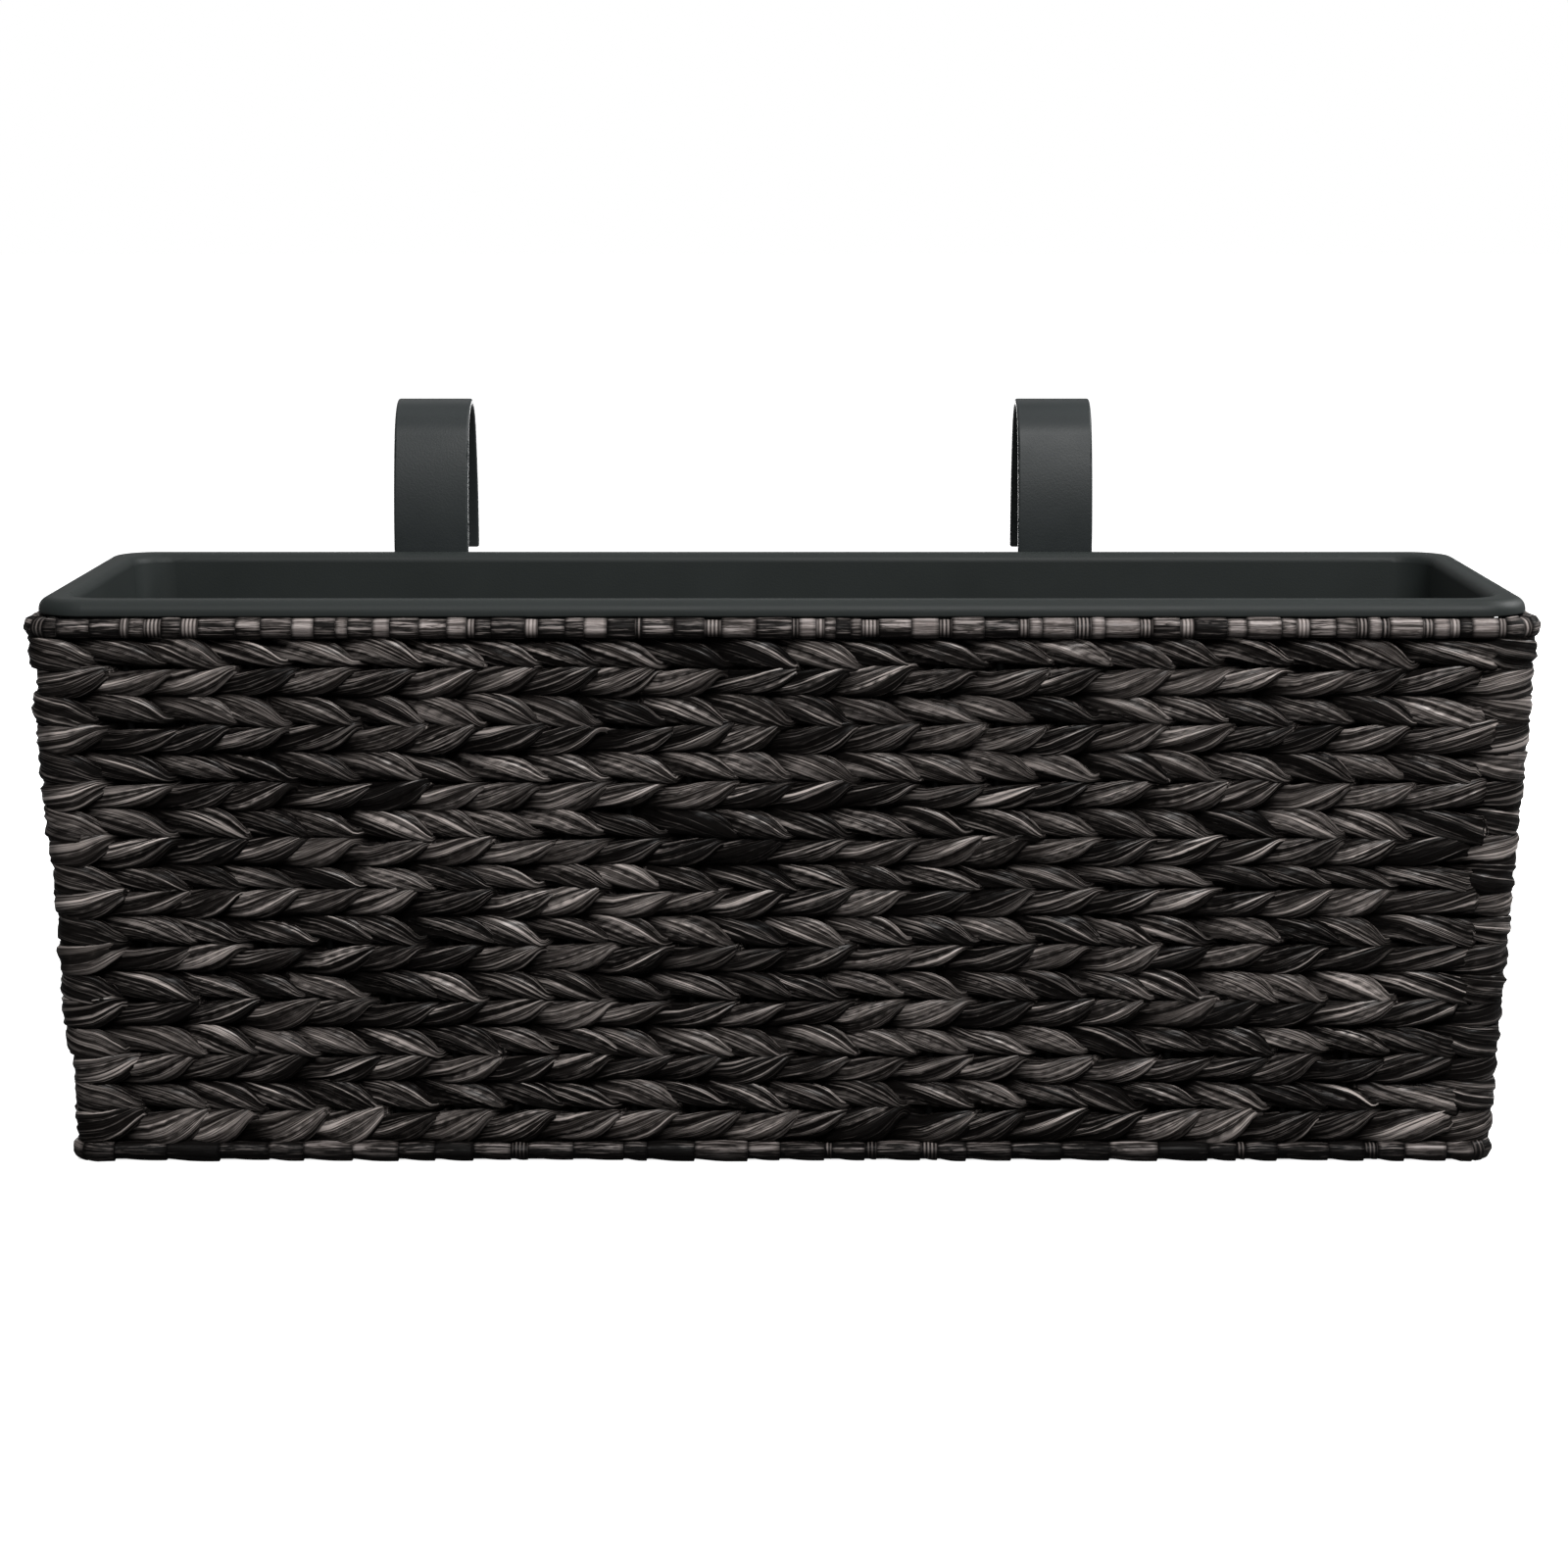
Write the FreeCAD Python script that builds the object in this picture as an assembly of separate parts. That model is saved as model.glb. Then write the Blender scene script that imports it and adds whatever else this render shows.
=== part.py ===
import FreeCAD, Part
import math
import os
from FreeCAD import Vector

os.makedirs("parts", exist_ok=True)

# Window box planter that hangs over a rail. Millimetres, +Z up, +Y towards the rail.
# The origin is on the ground, at the middle of the woven box.

# Woven box, measured over the wrapped borders
rim_length = 600.0
rim_width = 200.0
foot_inset = 11.0           # face of the bottom border inside that of the top border
rim_top = 222.9             # ground to the top of the top border
border_diameter = 8.4       # rod with the ribbon wound round it
border_corner = 16.0        # outside corner radius of both borders, seen from above
rod_diameter = 6.0
sole_trim = 0.2             # how much the bottom border is worn flat where it stands

# Weave and the stakes that it goes round
course_count = 18
weave_thickness = 9.0
weave_inset = 2.5           # face of the weave behind the face of the borders
weave_rounding = 1.8        # rounded outer edges of each course
stake_diameter = 3.0
stake_spacing = 25.0
post_diameter = 4.0

# Wires that carry the inner pot
wire_diameter = 3.0
cross_wire_spacing = 45.0
long_wire_spacing = 45.0

# Inner pot
lip_inset = 4.5             # edge of the lip inside the face of the top border
lip_thickness = 6.5
lip_corner = 20.0           # outside corner radius of the lip, seen from above
lip_top_rounding = 5.0
lip_bottom_rounding = 0.8
lip_inner_rounding = 4.0
pot_wall = 2.5
pot_corner = 18.0           # outside corner radius of the pot's walls, seen from above
pot_bottom_rounding = 8.0

# Strap hooks
hook_centres = {"hook_left": -156.0, "hook_right": 121.3}
strap_width = 33.0
strap_thickness = 3.0
strap_rounding = 1.0
hook_rise = 65.0            # top of the hook above the lip
arch_opening = 55.0         # clear width between the two legs
arch_height = 61.0          # from the foot of the arch to its inner top
arch_top_radius = 20.0
tail_length = 5.7           # straight end of the rail-side leg

# Clearances
fit_gap = 0.3               # between pieces that move past or rest on each other
weld_gap = 0.1              # between pieces that are welded or wound together
course_gap = 0.3            # between one course of weave and the next
pot_gap = 3.6               # between the inner pot and the weave
notch_gap = 1.0             # round a strap where it passes through the weave
stake_gap = 2.0             # between a strap and the stakes beside it

# Worked out from the sizes above
foot_length = rim_length - 2 * foot_inset
foot_width = rim_width - 2 * foot_inset
lip_length = rim_length - 2 * lip_inset
lip_width = rim_width - 2 * lip_inset
border_radius = border_diameter / 2
rod_radius = rod_diameter / 2
stake_radius = stake_diameter / 2
post_radius = post_diameter / 2
wire_radius = wire_diameter / 2
rim_z = rim_top - border_radius
foot_z = border_radius - sole_trim
weave_bottom = foot_z + border_radius + course_gap
weave_top = rim_z - border_radius - course_gap
course_pitch = (weave_top - weave_bottom + course_gap) / course_count
course_height = course_pitch - course_gap
stake_inset = weave_inset + weave_thickness / 2
hook_inner_radius = border_radius + fit_gap
hook_outer_radius = hook_inner_radius + strap_thickness


def box_size(z, inset=0.0):
    """Length and width over the borders at the height z, less the inset all round."""
    share = (z - foot_z) / (rim_z - foot_z)
    length = foot_length + (rim_length - foot_length) * share
    width = foot_width + (rim_width - foot_width) * share
    return length - 2 * inset, width - 2 * inset


def rounded_rectangle(length, width, radius, z):
    """Closed wire, centred on the origin, with round corners."""
    x = length / 2 - radius
    y = width / 2 - radius
    corners = [(x, -y, -90), (x, y, 0), (-x, y, 90), (-x, -y, 180)]
    arcs = []
    for centre_x, centre_y, start in corners:
        points = []
        for angle in (start, start + 45, start + 90):
            turn = math.radians(angle)
            points.append(
                Vector(centre_x + radius * math.cos(turn), centre_y + radius * math.sin(turn), z)
            )
        arcs.append(points)
    edges = []
    for here, after in zip(arcs, arcs[1:] + arcs[:1]):
        edges.append(Part.Arc(*here).toShape())
        edges.append(Part.makeLine(here[2], after[0]))
    return Part.Wire(edges)


def ring_rod(length, width, z, radius):
    """Round rod bent to a rounded rectangle, whose centre line lies inside the border's face."""
    corner = border_corner - border_radius
    x = length / 2 - border_corner
    y = width / 2 - border_corner
    run_x = x + corner
    run_y = y + corner
    pieces = []
    for sign in (-1, 1):
        along_x = Part.makeCylinder(radius, 2 * x, Vector(-x, sign * run_y, z), Vector(1, 0, 0))
        along_y = Part.makeCylinder(radius, 2 * y, Vector(sign * run_x, -y, z), Vector(0, 1, 0))
        pieces += [along_x, along_y]
    for centre_x, centre_y, start in ((x, y, 0), (-x, y, 90), (-x, -y, 180), (x, -y, 270)):
        bend = Part.makeTorus(corner, radius, Vector(0, 0, 0), Vector(0, 0, 1), 0, 360, 90)
        bend.rotate(Vector(0, 0, 0), Vector(0, 0, 1), start)
        bend.translate(Vector(centre_x, centre_y, z))
        pieces.append(bend)
    return pieces[0].fuse(pieces[1:])


def spread(first, last, spacing):
    """Evenly spaced places from first to last, both included, about one spacing apart."""
    count = max(1, round(abs(last - first) / spacing))
    return [first + (last - first) * i / count for i in range(count + 1)]


def wall_places():
    """Places of the stakes along each wall, at the height of the top border.

    The corner posts stand where the first and last stake of a wall would be.
    """
    length, width = box_size(rim_z, stake_inset)
    corner = border_corner - stake_inset
    half_x = length / 2 - corner
    half_y = width / 2 - corner
    half_gap = strap_width / 2 + stake_gap + stake_radius
    knots = [-half_x]
    for centre in sorted(hook_centres.values()):
        knots += [centre - half_gap, centre + half_gap]
    knots.append(half_x)
    back = []
    for first, last in zip(knots[0::2], knots[1::2]):
        back += spread(first, last, stake_spacing)
    return {
        "front": [(x, -width / 2) for x in spread(-half_x, half_x, stake_spacing)[1:-1]],
        "back": [(x, width / 2) for x in back[1:-1]],
        "left": [(-length / 2, y) for y in spread(-half_y, half_y, stake_spacing)[1:-1]],
        "right": [(length / 2, y) for y in spread(-half_y, half_y, stake_spacing)[1:-1]],
    }


def corner_places():
    """Places of the four corner posts, in the middle of each corner's arc."""
    length, width = box_size(rim_z, stake_inset)
    corner = border_corner - stake_inset
    reach = corner * (1 - math.sqrt(0.5))
    x = length / 2 - reach
    y = width / 2 - reach
    return [(-x, -y), (x, -y), (x, y), (-x, y)]


def leaning_axis(place):
    """Foot, head and lean of a stake that keeps its share of the wall from rim to foot."""
    rim_x, rim_y = box_size(rim_z, stake_inset)
    foot_x, foot_y = box_size(foot_z, stake_inset)
    head = Vector(place[0], place[1], rim_z)
    foot = Vector(place[0] * foot_x / rim_x, place[1] * foot_y / rim_y, foot_z)
    return foot, head


def point_at(place, z):
    foot, head = leaning_axis(place)
    return foot + (head - foot) * ((z - foot.z) / (head.z - foot.z))


def upright(place, radius):
    """Round bar that follows the lean of the wall, from the foot rod to the rim rod."""
    end = rod_radius + weld_gap
    low = point_at(place, foot_z + end)
    high = point_at(place, rim_z - end)
    trim = radius * (high - low).cross(Vector(0, 0, 1)).Length / (high.z - low.z)
    axis = (high - low).normalize()
    low += axis * trim
    high -= axis * trim
    return Part.makeCylinder(radius, (high - low).Length, low, axis)


def hole_radius(place, radius):
    """Hole through one course that lets a leaning bar through."""
    foot, head = leaning_axis(place)
    lean = math.hypot(head.x - foot.x, head.y - foot.y) / (head.z - foot.z)
    return radius + weld_gap + lean * (course_height / 2 + radius)


def pocket(place, radius, border_z):
    """Hole in a border for the end of a bar that is welded to the rod inside it."""
    inwards = 1 if border_z < rim_z else -1
    end = point_at(place, border_z + inwards * rod_radius)
    mouth = point_at(place, border_z + inwards * border_diameter)
    return Part.makeCylinder(radius + weld_gap, (end - mouth).Length, mouth, end - mouth)


def on_outline(edge, length, width, corner):
    """True if the middle of the edge lies on the rounded rectangle of this size."""
    middle = edge.valueAt((edge.FirstParameter + edge.LastParameter) / 2)
    x = max(abs(middle.x) - (length / 2 - corner), 0.0)
    y = max(abs(middle.y) - (width / 2 - corner), 0.0)
    return abs(math.hypot(x, y) - corner) < weld_gap


def level_edges(shape, z):
    """Edges that lie flat at the height z."""
    near = weld_gap / 2
    return [e for e in shape.Edges if abs(e.BoundBox.ZMin - z) < near and abs(e.BoundBox.ZMax - z) < near]


def weave_course(number, bars):
    """One course of weave, number 1 at the top, with a hole for every bar that it goes round."""
    bottom = weave_top - number * course_pitch + course_gap
    top = bottom + course_height
    middle = bottom + course_height / 2
    face_size = box_size(middle, weave_inset)
    back_size = box_size(middle, weave_inset + weave_thickness)
    corner = border_corner - weave_inset
    wires = [
        rounded_rectangle(*face_size, corner, bottom),
        rounded_rectangle(*back_size, corner - weave_thickness, bottom),
    ]
    for place, radius in bars:
        at = point_at(place, middle)
        at.z = bottom
        wires.append(Part.Wire(Part.makeCircle(hole_radius(place, radius), at)))
    course = Part.makeFace(wires, "Part::FaceMakerBullseye").extrude(Vector(0, 0, course_height))
    edges = level_edges(course, bottom) + level_edges(course, top)
    outer_edges = [e for e in edges if on_outline(e, *face_size, corner)]
    return course.makeFillet(weave_rounding, outer_edges)


def weave(bars):
    """All courses, the first one notched where the two straps pass under the border."""
    courses = {}
    for number in range(1, course_count + 1):
        courses[f"weave_course_{number:02d}"] = weave_course(number, bars)
    half_notch = strap_width / 2 + notch_gap
    floor = rim_z - hook_outer_radius - notch_gap
    depth = weave_inset + weave_thickness + border_radius
    for centre in hook_centres.values():
        notch = Part.makeBox(
            2 * half_notch, depth, border_diameter,
            Vector(centre - half_notch, rim_width / 2 - depth, floor),
        )
        courses["weave_course_01"] = courses["weave_course_01"].cut(notch)
    return courses


def base_wires():
    """Cross wires between the long sides of the foot rod, and long wires that lie on them."""
    length, width = box_size(foot_z, border_radius + rod_radius + weld_gap)
    half_x = length / 2 - border_corner
    half_y = width / 2 - border_corner
    cross = []
    pockets = []
    for x in spread(-half_x, half_x, cross_wire_spacing):
        start = Vector(x, -width / 2, foot_z)
        cross.append(Part.makeCylinder(wire_radius, width, start, Vector(0, 1, 0)))
        pockets.append(Part.makeCylinder(wire_radius + weld_gap, width, start, Vector(0, 1, 0)))
    z = foot_z + wire_diameter + weld_gap
    half_run = half_x + wire_diameter
    long_wires = []
    for y in spread(-half_y, half_y, long_wire_spacing):
        start = Vector(-half_run, y, z)
        long_wires.append(Part.makeCylinder(wire_radius, 2 * half_run, start, Vector(1, 0, 0)))
    return cross, long_wires, pockets, z + wire_radius


def border_wrap(length, width, z, pockets):
    """Ribbon wound round a rod, with a hole for every bar that is welded to the rod."""
    ribbon = ring_rod(length, width, z, border_radius)
    bore = ring_rod(length, width, z, rod_radius + weld_gap)
    return ribbon.cut([bore] + pockets)


def ground_block():
    corner = Vector(-rim_length / 2, -rim_width / 2, -border_diameter)
    return Part.makeBox(rim_length, rim_width, border_diameter, corner)


def tapered_block(inset, corner, low, high):
    """Block between two heights that keeps the inset from the box's walls."""
    wires = [rounded_rectangle(*box_size(z, inset), corner, z) for z in (low, high)]
    return Part.makeLoft(wires, True, True)


def inner_pot(floor):
    """Tapered pot with a thick rounded lip that rests on the top border."""
    flat_edge = lip_width / 2 - lip_bottom_rounding
    seat_reach = max(rim_width / 2 - border_radius - flat_edge, 0.0)
    seat_distance = border_radius + lip_bottom_rounding + fit_gap
    underside = rim_z + math.sqrt(seat_distance**2 - seat_reach**2) - lip_bottom_rounding
    top = underside + lip_thickness

    wall_inset = weave_inset + weave_thickness + pot_gap
    body = tapered_block(wall_inset, pot_corner, floor, underside + lip_thickness / 2)
    body = body.makeFillet(pot_bottom_rounding, level_edges(body, floor))

    outline = rounded_rectangle(lip_length, lip_width, lip_corner, underside)
    lip = Part.Face(outline).extrude(Vector(0, 0, lip_thickness))
    lip = lip.makeFillet(lip_top_rounding, level_edges(lip, top))
    lip = lip.makeFillet(lip_bottom_rounding, level_edges(lip, underside))

    soil_inset = wall_inset + pot_wall
    soil_corner = pot_corner - pot_wall
    soil_floor = floor + pot_wall
    soil = tapered_block(soil_inset, soil_corner, soil_floor, top)
    soil = soil.makeFillet(pot_bottom_rounding - pot_wall, level_edges(soil, soil_floor))
    pot = body.fuse(lip).cut(soil)
    mouth_size = box_size(top, soil_inset)
    mouth = [e for e in level_edges(pot, top) if on_outline(e, *mouth_size, soil_corner)]
    return pot.makeFillet(lip_inner_rounding, mouth), underside, top


def arc_about(centre, radius, start, end):
    """Arc in the YZ plane, angles in degrees from +Y towards +Z."""
    points = []
    for angle in (start, (start + end) / 2, end):
        turn = math.radians(angle)
        y = centre[0] + radius * math.cos(turn)
        z = centre[1] + radius * math.sin(turn)
        points.append(Vector(0, y, z))
    return Part.Arc(*points).toShape()


def closed_outline(pieces):
    """Wire through arcs and points in their order, with straight lines between them."""
    edges = []
    last = pieces[-1]
    here = last if isinstance(last, Vector) else last.Vertexes[-1].Point
    for piece in pieces:
        start = piece if isinstance(piece, Vector) else piece.Vertexes[0].Point
        if (start - here).Length > weld_gap:
            edges.append(Part.makeLine(here, start))
        here = start
        if not isinstance(piece, Vector):
            edges.append(piece)
            here = piece.Vertexes[-1].Point
    return Part.Wire(edges)


def strap_hook(centre, underside, lip_top):
    """Flat strap: arch over the rail, leg behind the box, and an end curled round the border."""
    half = arch_opening / 2
    climb = arch_height - arch_top_radius
    flank = (half**2 - arch_top_radius**2 + climb**2) / (2 * (half - arch_top_radius))
    meet = math.degrees(math.atan2(climb, flank - half))

    border_y = rim_width / 2 - border_radius
    arch_y = border_y + hook_outer_radius + half
    arch_z = lip_top + hook_rise - strap_thickness - arch_height
    curl = (border_y, rim_z)
    top = (arch_y, arch_z + climb)
    front = (arch_y - half + flank, arch_z)
    back = (arch_y + half - flank, arch_z)
    tail_y = arch_y + half
    tail_z = arch_z - tail_length
    tongue_z = underside - fit_gap
    outline = closed_outline([
        Vector(0, border_y - hook_inner_radius, tongue_z),
        arc_about(curl, hook_inner_radius, -180, 0),
        arc_about(front, flank + strap_thickness, 180, 180 - meet),
        arc_about(top, arch_top_radius + strap_thickness, 180 - meet, meet),
        arc_about(back, flank + strap_thickness, meet, 0),
        Vector(0, tail_y + strap_thickness, tail_z),
        Vector(0, tail_y, tail_z),
        arc_about(back, flank, 0, meet),
        arc_about(top, arch_top_radius, meet, 180 - meet),
        arc_about(front, flank, 180 - meet, 180),
        arc_about(curl, hook_outer_radius, 0, -180),
        Vector(0, border_y - hook_outer_radius, tongue_z),
    ])
    outline.translate(Vector(centre - strap_width / 2, 0, 0))
    strap = Part.Face(outline).extrude(Vector(strap_width, 0, 0))
    sides = [e for e in strap.Edges if e.BoundBox.XLength < weld_gap]
    return strap.makeFillet(strap_rounding, sides)


def save(shape, name):
    shape.exportStep("parts/" + name + ".step")


def main():
    bars = [(place, post_radius) for place in corner_places()]
    save(Part.makeCompound([upright(*bar) for bar in bars]), "corner_posts")
    for side, places in wall_places().items():
        stakes = [(place, stake_radius) for place in places]
        save(Part.makeCompound([upright(*stake) for stake in stakes]), "stakes_" + side)
        bars += stakes

    cross, long_wires, wire_pockets, pot_seat = base_wires()
    save(Part.makeCompound(cross), "base_cross_wires")
    save(Part.makeCompound(long_wires), "base_long_wires")
    save(ring_rod(rim_length, rim_width, rim_z, rod_radius), "top_rim_rod")
    save(ring_rod(foot_length, foot_width, foot_z, rod_radius), "bottom_rim_rod")

    rim_pockets = [pocket(*bar, rim_z) for bar in bars]
    foot_pockets = [pocket(*bar, foot_z) for bar in bars]
    save(border_wrap(rim_length, rim_width, rim_z, rim_pockets), "top_border_wrap")
    foot_cuts = foot_pockets + wire_pockets + [ground_block()]
    save(border_wrap(foot_length, foot_width, foot_z, foot_cuts), "bottom_border_wrap")
    for name, course in weave(bars).items():
        save(course, name)

    pot, lip_underside, lip_top = inner_pot(pot_seat + fit_gap)
    save(pot, "liner")
    for name, centre in hook_centres.items():
        save(strap_hook(centre, lip_underside, lip_top), name)


main()
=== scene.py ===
import math

import bpy
import numpy as np
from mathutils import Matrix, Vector


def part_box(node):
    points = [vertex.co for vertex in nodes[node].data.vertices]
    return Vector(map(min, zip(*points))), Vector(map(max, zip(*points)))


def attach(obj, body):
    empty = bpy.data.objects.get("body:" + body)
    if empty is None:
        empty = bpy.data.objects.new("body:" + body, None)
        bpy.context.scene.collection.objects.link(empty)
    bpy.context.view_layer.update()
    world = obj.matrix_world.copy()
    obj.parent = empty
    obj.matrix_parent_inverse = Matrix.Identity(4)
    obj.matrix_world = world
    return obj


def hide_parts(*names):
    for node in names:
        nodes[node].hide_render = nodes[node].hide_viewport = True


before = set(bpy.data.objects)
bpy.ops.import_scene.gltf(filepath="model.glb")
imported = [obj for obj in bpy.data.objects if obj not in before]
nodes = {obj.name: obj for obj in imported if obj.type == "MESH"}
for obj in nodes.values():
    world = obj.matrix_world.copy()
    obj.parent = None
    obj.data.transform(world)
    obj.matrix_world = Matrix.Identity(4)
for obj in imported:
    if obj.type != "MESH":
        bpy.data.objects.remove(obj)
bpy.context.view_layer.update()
mm = 0.001
print("frame loaded with", len(nodes), "CAD nodes")


# Rings that follow the rounded rectangle of the box, seen from above.

def ringRuns(length, width, corner):
    # centre, angle, heading and length of each straight run and corner arc,
    # from the middle of the back wall towards -X; an arc has no heading
    x, y, turn = length / 2 - corner, width / 2 - corner, corner * math.pi / 2
    return [
        ((0, y), 90, (-1, 0), x),
        ((-x, y), 90, None, turn),
        ((-x, y), 180, (0, -1), 2 * y),
        ((-x, -y), 180, None, turn),
        ((-x, -y), 270, (1, 0), 2 * x),
        ((x, -y), 270, None, turn),
        ((x, -y), 360, (0, 1), 2 * y),
        ((x, y), 360, None, turn),
        ((x, y), 450, (-1, 0), x),
    ]


def ringLength(length, width, corner):
    return sum(run for centre, angle, heading, run in ringRuns(length, width, corner))


def ringPlaces(length, width, corner, distance):
    # points of the ring at these distances along it, and the outward direction there
    slack = 1e-9
    points = np.zeros((len(distance), 2))
    outward = np.zeros((len(distance), 2))
    start = 0.0
    for centre, angle, heading, run in ringRuns(length, width, corner):
        inside = (distance >= start - slack) & (distance <= start + run + slack)
        part = distance[inside] - start
        turned = np.radians(angle + (90 * part / run if heading is None else 0 * part))
        out = np.stack([np.cos(turned), np.sin(turned)], 1)
        points[inside] = np.array(centre) + corner * out
        if heading is not None:
            points[inside] += part[:, None] * np.array(heading)
        outward[inside] = out
        start += run
    return points, outward


def cornerDistances(length, width, corner):
    # distances along a ring to the middles of its four corners
    found, start = [], 0.0
    for centre, angle, heading, run in ringRuns(length, width, corner):
        if heading is None:
            found.append(start + run / 2)
        start += run
    return np.array(found)


def closedTube(name, points, sides, radius):
    # round tube along a closed line, with a UV map along it and around it
    line = bpy.data.curves.new(name, "CURVE")
    line.dimensions = "3D"
    line.bevel_depth = radius
    line.bevel_resolution = (sides - 4) // 2
    spline = line.splines.new("POLY")
    spline.points.add(len(points) - 1)
    spline.points.foreach_set("co", np.hstack([points, np.ones((len(points), 1))]).ravel())
    spline.use_cyclic_u = True
    holder = bpy.data.objects.new(name + "Line", line)
    bpy.context.scene.collection.objects.link(holder)
    evaluated = holder.evaluated_get(bpy.context.evaluated_depsgraph_get())
    mesh = bpy.data.meshes.new_from_object(evaluated)
    bpy.data.objects.remove(holder)
    bpy.data.curves.remove(line)
    mesh.name = name
    return mesh


def roundTheTube(mesh, points, outward, sides):
    # for each ring of the tube, the angle of every vertex: 0 outwards, 90 degrees up
    places = np.zeros(len(mesh.vertices) * 3, np.float32)
    mesh.vertices.foreach_get("co", places)
    away = places.reshape(len(points), sides, 3) - points[:, None, :]
    out = away[..., 0] * outward[:, None, 0] + away[..., 1] * outward[:, None, 1]
    return np.arctan2(away[..., 2], out)


def shapeTube(mesh, points, outward, reach, height):
    # moves each ring's vertices to these distances outwards from its point, and these heights
    shaped = np.zeros((*reach.shape, 3))
    shaped[..., 0] = points[:, None, 0] + outward[:, None, 0] * reach
    shaped[..., 1] = points[:, None, 1] + outward[:, None, 1] * reach
    shaped[..., 2] = height
    mesh.vertices.foreach_set("co", (shaped * mm).astype(np.float32).ravel())
    mesh.update()
    mesh.polygons.foreach_set("use_smooth", np.ones(len(mesh.polygons), bool))


def tubeUv(mesh, sides):
    # 0 to 1 along the tube and around it, for every corner of its faces;
    # around runs the way that the vertices of a ring are numbered
    read = np.zeros(len(mesh.loops) * 2, np.float32)
    mesh.uv_layers[0].data.foreach_get("uv", read)
    read = read.reshape(-1, 2)
    vertex = np.zeros(len(mesh.loops), np.int32)
    mesh.loops.foreach_get("vertex_index", vertex)
    forwards = abs(read[vertex % sides == 1, 1].mean() - 1 / sides) < 0.01
    return read[:, 0], read[:, 1] if forwards else 1 - read[:, 1]


def setUv(mesh, along, around):
    pairs = np.stack([along, around], 1)
    mesh.uv_layers[0].data.foreach_set("uv", pairs.astype(np.float32).ravel())


def setVertexValues(mesh, name, values):
    mesh.attributes.new(name, "FLOAT", "POINT").data.foreach_set(
        "value", values.astype(np.float32).ravel())


def softTable(places, values, smoothing):
    # a table of values over one period, 0 to 1, closed, smoothed and read anywhere along it
    steps = 256
    fine = np.linspace(0, 1, steps, endpoint=False)
    order = np.argsort(np.mod(places, 1))
    at = np.mod(places, 1)[order]
    level = np.interp(fine, at, np.array(values)[order], period=1)
    blur = np.exp(-0.5 * ((np.arange(steps) - steps // 2) / (smoothing * steps)) ** 2)
    spread = np.fft.fft(np.roll(blur / blur.sum(), -(steps // 2)))
    level = np.real(np.fft.ifft(np.fft.fft(level) * spread))
    return lambda where: np.interp(where, fine, level, period=1)


def joinPieces(name, pieces):
    # several meshes as one object
    bpy.ops.object.select_all(action="DESELECT")
    for piece in pieces:
        piece.select_set(True)
    bpy.context.view_layer.objects.active = pieces[0]
    bpy.ops.object.join()
    pieces[0].name = name
    return pieces[0]


# Weave: every course is two strands that twist round each other between the stakes.
# Course 1 is the top one. All lengths are in millimetres.

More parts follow.
